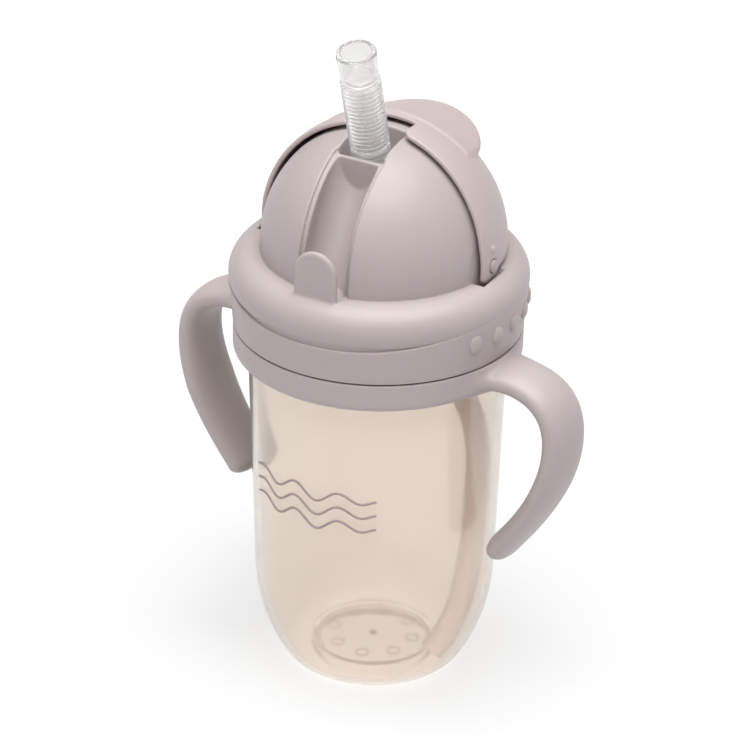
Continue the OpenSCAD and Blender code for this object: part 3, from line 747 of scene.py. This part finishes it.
# Thread on the neck
THREAD_Z, PITCH, TURNS, THREAD_R, THREAD_W = 103.2, 4.0, 1.5, 30.95, 0.95
thread_path = []
for i in range(int(TURNS * 72) + 1):
    a = 2 * math.pi * i / 72
    thread_path.append((THREAD_R * math.cos(a), THREAD_R * math.sin(a), THREAD_Z + PITCH * i / 72))
swell = [min(1.0, 0.3 + i / 8, 0.3 + (len(thread_path) - 1 - i) / 8) for i in range(len(thread_path))]
thread = along("neck_thread", thread_path, [THREAD_W * s for s in swell], 10)
place(thread, BOTTLE_MAT, "bottle", "bottle")

# Gate mark and small plain circles under the base, where the real one has moulded signs. Their dark colour is
# painted shade: the real marks are the bottle's own clear plastic, dark only where they bend the light.
SIGN_RING, SIGN_R, SIGN_LINE = 11.2, 1.7, 0.2
gate = turned("base_gate_mark", [(0.0, HOLLOW_Z + 0.3), (0.9, HOLLOW_Z + 0.1), (1.1, HOLLOW_Z - 0.5),
                                 (0.7, HOLLOW_Z - 0.9), (0.0, HOLLOW_Z - 0.9)], 32)
place(gate, SIGN_SHADE_MAT, "bottle", "bottle")
for i in range(8):
    a = 2 * math.pi * (i + 0.3) / 8
    circle = []
    for k in range(40):
        t = 2 * math.pi * k / 40
        circle.append((SIGN_RING * math.cos(a) + SIGN_R * math.cos(t),
                       SIGN_RING * math.sin(a) + SIGN_R * math.sin(t), HOLLOW_Z - 0.05))
    sign = along(f"base_circle_{i + 1}", circle, SIGN_LINE, 8, closed=True)
    place(sign, SIGN_SHADE_MAT, "bottle", "bottle")


def wall_r(z):
    return LOW_R + (z - LOW_Z) * math.tan(TILT)


def on_wall(angle, z, proud=0.0):
    """A point on the bottle's outer wall: angle in degrees from the front, towards +X."""
    r = wall_r(z) + proud
    a = math.radians(angle)
    return (r * math.sin(a), -r * math.cos(a), z)


# Printed ornament: three plain rolling waves where the real cup has its printed mark
MARK_Z, MARK_SPAN, MARK_LIFT = 60.5, 34.0, 1.9
MARK_PITCH, MARK_WAVES, MARK_TURN, MARK_LINE = 4.2, 3.0, 5, 0.34
for row in range(3):
    path = []
    count = 90
    for i in range(count + 1):
        s = i / count
        a = -MARK_TURN - MARK_SPAN + 2 * MARK_SPAN * s
        grow = math.sin(math.pi * s) ** 0.5
        lift = MARK_LIFT * grow * math.sin(2 * math.pi * MARK_WAVES * s)
        path.append(on_wall(a, MARK_Z + MARK_PITCH * (row - 1) + lift, 0.02))
    mark = along(f"printed_wave_{row + 1}", path, MARK_LINE, 8)
    place(mark, MARK_MAT, "lid_plastic", "bottle")

# Band round the lid's skirt: its upper edge is low at the front and back and rises at the sides
BAND_LOW, BAND_RISE, BAND_SLOPE, BAND_SIDE = 111.1, 4.4, 0.075, 0.25


def band_section(angle):
    swing = abs(math.cos(angle)) ** 3
    top = BAND_LOW + BAND_RISE * swing
    root = RING_R - 0.9
    out = RING_R + BAND_SLOPE * (top - SEAM_Z) + BAND_SIDE * swing
    outer = [(RING_R + (out - RING_R) * k / 6, SEAM_Z + (top - SEAM_Z) * k / 6) for k in range(1, 6)]
    return soften([(root, SEAM_Z), (RING_R, SEAM_Z, 0.4)] + outer + [(out, top, 0.42), (root, top)])


band = turned("lid_band", band_section, 360)
place(band, LID_MAT, "lid_plastic", "lid")

# Sealing ring, vent valve and pins
SEAL_IN, SEAL_OUT, SEAL_LOW, SEAL_TOP = 28.5, 31.3, 113.15, 114.5
seal = turned("seal_ring", soften([(SEAL_IN, SEAL_LOW, 0.4), (SEAL_OUT, SEAL_LOW, 0.4),
                                   (SEAL_OUT, SEAL_TOP, 0.4), (SEAL_IN, SEAL_TOP, 0.4)]), 120)
place(seal, SEAL_MAT, "seal_silicone", "seal", "lid_seal")

VENT_LOW, VENT_TOP, VENT_BORE, VENT_STEM, VENT_HEAD = 113.7, 117.3, 0.35, 2.15, 3.3
vent = turned("vent_plug", soften([
    (VENT_BORE, VENT_LOW, 0.1), (VENT_HEAD, VENT_LOW, 0.3), (VENT_HEAD, 114.5, 0.2), (VENT_STEM, 114.55, 0.1),
    (VENT_STEM, 116.45, 0.1), (VENT_HEAD, 116.5, 0.2), (VENT_HEAD, VENT_TOP, 0.3), (VENT_BORE, VENT_TOP, 0.1)]), 40)
vent.data.transform(Matrix.Translation((VENT_X * MM, VENT_Y * MM, 0)))
place(vent, SEAL_MAT, "seal_silicone", "lid", "vent_valve")

PIN_R, PIN_IN, PIN_HEAD, PIN_OUT = 1.75, 26.6, 33.95, 34.39
for side, word in ((-1, "left"), (1, "right")):
    pin = turned(f"pin_{word}", soften([(0.0, PIN_IN), (PIN_R, PIN_IN, 0.2), (PIN_R, PIN_HEAD, 0.35),
                                        (1.3, 34.2, 0.3), (0.7, 34.35, 0.3), (0.0, PIN_OUT)]), 48)
    pin.data.transform(Matrix.Translation((0, 0, PIVOT_Z * MM)) @ Matrix.Rotation(side * math.pi / 2, 4, "Y"))
    place(pin, PIN_MAT, "lid_plastic", "lid", f"{word}_pivot_pin")


# ---------------------------------------------------------------- straw
KINK = Vector((0, STRAW_Y, WELL_FLOOR)) * MM
LEAN = math.radians(15.7)
STRAW_LEN, MOUTH_LEN, BORE_R = 46.5, 8.5, 3.9
TO_LEAN = Matrix.Translation(KINK) @ Matrix.Rotation(LEAN, 4, "X")


def leaning(piece):
    piece.data.transform(TO_LEAN)
    return piece


RIB_FIRST, RIBS = 0.6, 29
RIB_PITCH = (STRAW_LEN - MOUTH_LEN - RIB_FIRST) / RIBS


def ribs_section(low, high):
    """Wall of the bellows from rib number low to rib number high."""
    outer, inner = [], []
    for i in range((high - low) * 8 + 1):
        wave = 0.5 - 0.5 * math.cos(2 * math.pi * i / 8)
        outer.append((STRAW_R - 0.5 + 0.5 * wave ** 0.8, RIB_FIRST + (low + i / 8) * RIB_PITCH))
    for i in range((high - low) * 4, -1, -1):
        wave = 0.5 - 0.5 * math.cos(2 * math.pi * i / 4)
        inner.append((BORE_R + 0.2 * wave, RIB_FIRST + (low + i / 4) * RIB_PITCH))
    return outer + inner


# The lowest ribs stay in the well, those above are a piece of their own with its own mesh, and the
# highest one lies down in the channel with the tip
FOLD_LOW, FOLD_HIGH, FOLD_KEEP = 12, 28, 0.03
ribs_low = leaning(turned("straw_ribs_low", ribs_section(0, FOLD_LOW), 56))
place(ribs_low, STRAW_MAT, "straw_silicone", "lid", "straw_bellows")
ribs_fold = leaning(turned("straw_ribs_fold", ribs_section(FOLD_LOW, FOLD_HIGH), 56))
place(ribs_fold, STRAW_MAT, "straw_silicone", "lid", "straw_bellows")
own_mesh(ribs_fold)
ribs_high = leaning(turned("straw_ribs_high", ribs_section(FOLD_HIGH, RIBS), 56))
place(ribs_high, STRAW_MAT, "straw_silicone", "straw_top")

low = STRAW_LEN - MOUTH_LEN + 0.1
mouth = leaning(turned("straw_tip", soften([
    (BORE_R, low, 0.2), (STRAW_R - 0.25, low, 0.3), (STRAW_R - 0.25, low + 2.5, 1.0),
    (STRAW_R, STRAW_LEN - 1.2, 0.6),
    (STRAW_R - 0.1, STRAW_LEN, 0.5), (BORE_R + 0.1, STRAW_LEN, 0.5), (BORE_R, STRAW_LEN - 2, 0.5)]), 64))
place(mouth, STRAW_MAT, "straw_silicone", "straw_top", "straw_mouthpiece")

SLIT_R, SLIT_FLAT = 3.88, 3.0
slit = leaning(turned("straw_slit_disc", soften([
    (0.0, low + 0.9), (SLIT_FLAT, low + 0.7, 0.3), (SLIT_R, low + 0.3, 0.2),
    (SLIT_R, low + 1.3, 0.2), (SLIT_FLAT, low + 1.2, 0.3), (0.0, low + 1.2)]), 48))
place(slit, STRAW_MAT, "straw_silicone", "straw_top", "straw_slit_valve")

FLANGE_R, FLANGE_LOW, FLANGE_TOP, FOOT_TOP = 9.0, 112.4, 114.4, 137.2
foot = turned("straw_foot", soften([
    (BORE_R, FLANGE_LOW, 0.2), (FLANGE_R, FLANGE_LOW, 0.5), (FLANGE_R, FLANGE_TOP, 0.5),
    (STRAW_R, FLANGE_TOP, 0.4), (STRAW_R, FOOT_TOP, 0.4), (BORE_R, FOOT_TOP, 0.3)]), 64)
foot.data.transform(Matrix.Translation((0, STRAW_Y * MM, 0)))
place(foot, STRAW_MAT, "straw_silicone", "lid", "straw_base")

ROUTE = np.array([(0, STRAW_Y, 116), (0, STRAW_Y, 109), (8.5, 0.6, 101), (17.2, 3.1, 92), (24, 6, 80),
                  (25.9, 8.9, 66), (25.2, 10.2, 50), (25.3, 8, 36), (25.3, 1.8, 22), (23.6, -2.6, 14),
                  (21, -5.7, 9)], float)


def smooth_route(p, per):
    out = []
    for i in range(len(p) - 1):
        a, b, c, d = p[max(i - 1, 0)], p[i], p[i + 1], p[min(i + 2, len(p) - 1)]
        for k in range(per + (i == len(p) - 2)):
            f = k / per
            bend = (2 * a - 5 * b + 4 * c - d) * f * f + (3 * b - a - 3 * c + d) * f ** 3
            out.append(0.5 * (2 * b + (c - a) * f + bend))
    return out


TUBE_R, TUBE_BORE = 3.3, 2.4
tube = along("drinking_tube", smooth_route(ROUTE, 10), TUBE_R, 28, bore=TUBE_BORE)
place(tube, TUBE_MAT, "straw_silicone", "lid", "straw_tube")


# ---------------------------------------------------------------- floor, light and camera
def stage_plane():
    bm = bmesh.new()
    bmesh.ops.create_grid(bm, x_segments=8, y_segments=8, size=3.0)
    mesh = bpy.data.meshes.new("floor")
    bm.to_mesh(mesh)
    bm.free()
    floor = bpy.data.objects.new("floor", mesh)
    bpy.context.scene.collection.objects.link(floor)
    mat, tree, shader = material("floor_white")
    shader.inputs["Base Color"].default_value = (0.37, 0.37, 0.37, 1)
    shader.inputs["Roughness"].default_value = 0.9
    shader.inputs["Emission Color"].default_value = (1, 1, 1, 1)
    shader.inputs["Emission Strength"].default_value = 0.46
    floor.data.materials.append(mat)


stage_plane()

AZIMUTH, ELEVATION, DISTANCE, AIM_Z = math.radians(28.5), 0.4851, 1.1451, 0.0852
YAW, ROLL = -0.0017, 0.0158
FOCAL_PIXELS, IMAGE_HEIGHT = 4300.0, 746


def from_camera(x, y, z):
    """A point given from the camera's side: x to the right, y away from the camera."""
    c, s = math.cos(AZIMUTH), math.sin(AZIMUTH)
    return Vector((x * c - y * s, x * s + y * c, z))


def light(name, at, aim, size, power):
    data = bpy.data.lights.new(name, "AREA")
    data.shape = "DISK"
    data.size = size
    data.energy = power
    lamp = bpy.data.objects.new(name, data)
    lamp.location = from_camera(*at)
    way = from_camera(*aim) - lamp.location
    lamp.rotation_euler = way.to_track_quat("-Z", "Y").to_euler()
    bpy.context.scene.collection.objects.link(lamp)


sun_data = bpy.data.lights.new("overhead", "SUN")
sun_data.energy = 4.5
sun_data.angle = math.radians(60)
sun = bpy.data.objects.new("overhead", sun_data)
sun.rotation_euler = (-from_camera(0.02, -0.16, 1.0)).to_track_quat("-Z", "Y").to_euler()
bpy.context.scene.collection.objects.link(sun)
light("window", (-0.5, -1.0, 0.9), (0, 0, 0.09), 0.5, 1.2)

world = bpy.data.worlds.new("studio")
bpy.context.scene.world = world
world.use_nodes = True
world.node_tree.nodes["Background"].inputs["Color"].default_value = (1, 1, 1, 1)
world.node_tree.nodes["Background"].inputs["Strength"].default_value = 0.20

camera_data = bpy.data.cameras.new("camera")
camera = bpy.data.objects.new("camera", camera_data)
bpy.context.scene.collection.objects.link(camera)
bpy.context.scene.camera = camera
flat = DISTANCE * math.cos(ELEVATION)
camera.location = from_camera(0, -flat, AIM_Z + DISTANCE * math.sin(ELEVATION))
look = from_camera(math.sin(YAW) * math.cos(ELEVATION), math.cos(YAW) * math.cos(ELEVATION),
                   -math.sin(ELEVATION))
right = look.cross(Vector((0, 0, 1))).normalized()
up = right.cross(look)
rolled_right = math.cos(ROLL) * right + math.sin(ROLL) * up
rolled_up = -math.sin(ROLL) * right + math.cos(ROLL) * up
camera.rotation_euler = Matrix((rolled_right, rolled_up, -look)).transposed().to_euler()
camera_data.sensor_fit = "VERTICAL"
camera_data.sensor_height = 36
camera_data.lens = FOCAL_PIXELS / IMAGE_HEIGHT * camera_data.sensor_height
camera_data.clip_end = 20

bpy.context.scene.view_settings.view_transform = "Standard"
